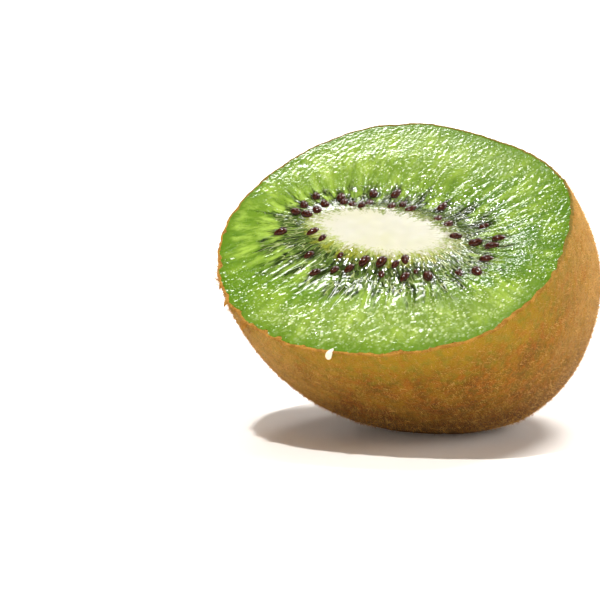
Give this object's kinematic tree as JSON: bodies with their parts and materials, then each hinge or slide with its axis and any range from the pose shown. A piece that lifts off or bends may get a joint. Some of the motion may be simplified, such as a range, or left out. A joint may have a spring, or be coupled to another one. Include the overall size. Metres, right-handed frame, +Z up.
{
  "type": "kiwifruit half",
  "caption": "Half of a green kiwifruit, cut across, lying on its brown skin with the cut face tipped up to show the seeds and the pale core.",
  "frame": {"origin": "middle of the small flat spot that the fruit rests on", "axes": "+Z up out of the rest spot; the cut face is tipped up and looks towards -Y and a little towards -X"},
  "size_m": [0.0565, 0.0619, 0.0453],
  "materials": {
    "flesh": "wet, translucent green flesh",
    "seed_ring": "wet, dark green jelly with pale threads",
    "core": "moist, creamy white pith",
    "skin": "dry, mottled brown skin with short fuzz",
    "seed": "glossy brown-black seed coat"
  },
  "bodies": {
    "root": {"flesh_with_skin": "flesh", "seed_ring": "seed_ring", "core": "core"}
  },
  "joints": []
}
